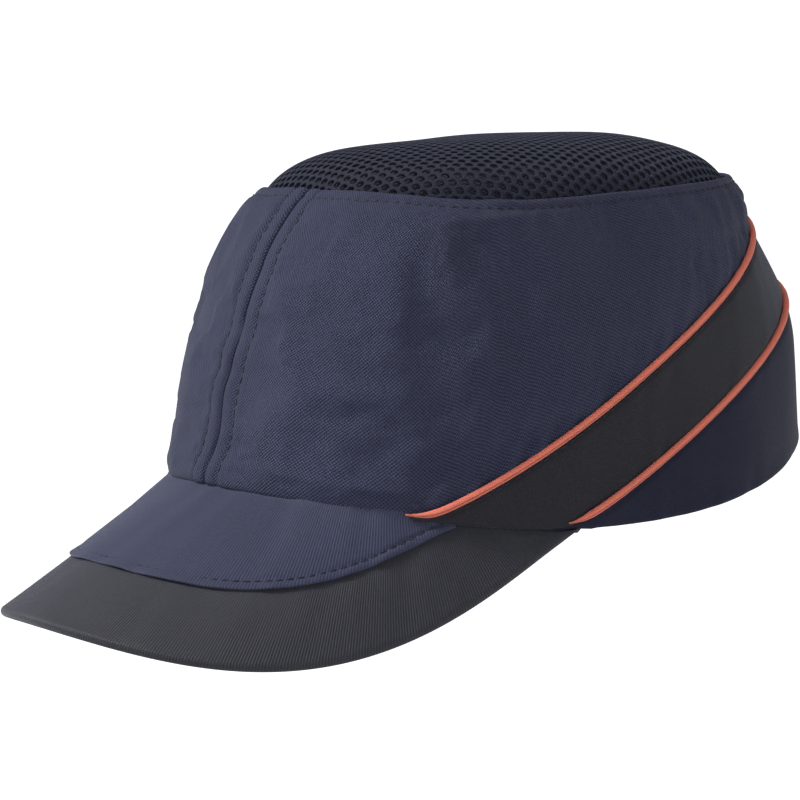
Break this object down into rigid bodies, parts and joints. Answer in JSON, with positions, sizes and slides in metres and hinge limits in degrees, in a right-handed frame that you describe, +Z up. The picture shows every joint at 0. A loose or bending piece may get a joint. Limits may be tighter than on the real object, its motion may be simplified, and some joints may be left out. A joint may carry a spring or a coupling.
{
  "type": "bump cap",
  "caption": "Baseball-style bump cap: woven crown with diagonal side stripes, mesh top, curved peak, inner protective shell and a hook-and-loop size strap.",
  "frame": {"origin": "centre of the head opening, level with the rim at the front and at the back, as worn on a level head", "axes": "+Z up as worn, -Y towards the front (the peak), +X towards the wearer's left"},
  "size_m": [0.172, 0.2725, 0.1384],
  "materials": {
    "navy_cloth": "navy coarse plain-weave synthetic, slight sheen",
    "black_cloth": "charcoal-black fine ribbed weave, matte",
    "coral_piping": "coral woven piping cord",
    "spacer_mesh": "dark navy knitted spacer mesh with hexagonal holes",
    "seam_tape": "dark woven tape",
    "peak_board": "flexible polyethylene sheet",
    "shell_plastic": "moulded ABS, fine matte texture",
    "pad_foam": "closed-cell EVA foam",
    "sweatband_cloth": "brushed twill",
    "label_cloth": "blank white satin label",
    "strap_cloth": "black woven webbing",
    "hook_tape": "moulded nylon hooks",
    "loop_tape": "brushed nylon loop pile"
  },
  "bodies": {
    "cap": {"crown_panel_left": "navy_cloth", "crown_panel_right": "navy_cloth", "side_band_left": "black_cloth", "side_band_right": "black_cloth", "rear_panel_left": "navy_cloth", "rear_panel_right": "navy_cloth", "piping_upper_left": "coral_piping", "piping_upper_right": "coral_piping", "piping_lower_left": "coral_piping", "piping_lower_right": "coral_piping", "top_mesh": "spacer_mesh", "top_seam_tape": "seam_tape", "front_seam_tape": "seam_tape", "rear_arch_binding": "seam_tape", "peak_board": "peak_board", "peak_top_cover": "navy_cloth", "peak_edge_band": "black_cloth", "peak_under_cover": "navy_cloth", "protective_shell": "shell_plastic", "pad_front": "pad_foam", "pad_left": "pad_foam", "pad_right": "pad_foam", "pad_rear": "pad_foam", "pad_top": "pad_foam", "sweatband": "sweatband_cloth", "care_label": "label_cloth", "closure_strap_right": "strap_cloth", "loop_patch": "loop_tape"},
    "strap": {"closure_strap_left": "strap_cloth"},
    "tab": {"closure_tab": "strap_cloth", "hook_patch": "hook_tape"}
  },
  "joints": [
    {"name": "strap_size_slide", "type": "hinge", "parent": "cap", "child": "strap", "pos_m": [0, 0.0345, 0.0105], "axis": [0, 0, 1], "range_deg": [-12, 6]},
    {"name": "closure_tab_peel", "type": "hinge", "parent": "strap", "child": "tab", "pos_m": [0.00122, 0.10439, 0.0105], "axis": [0, 0, -1], "range_deg": [0, 110]}
  ]
}
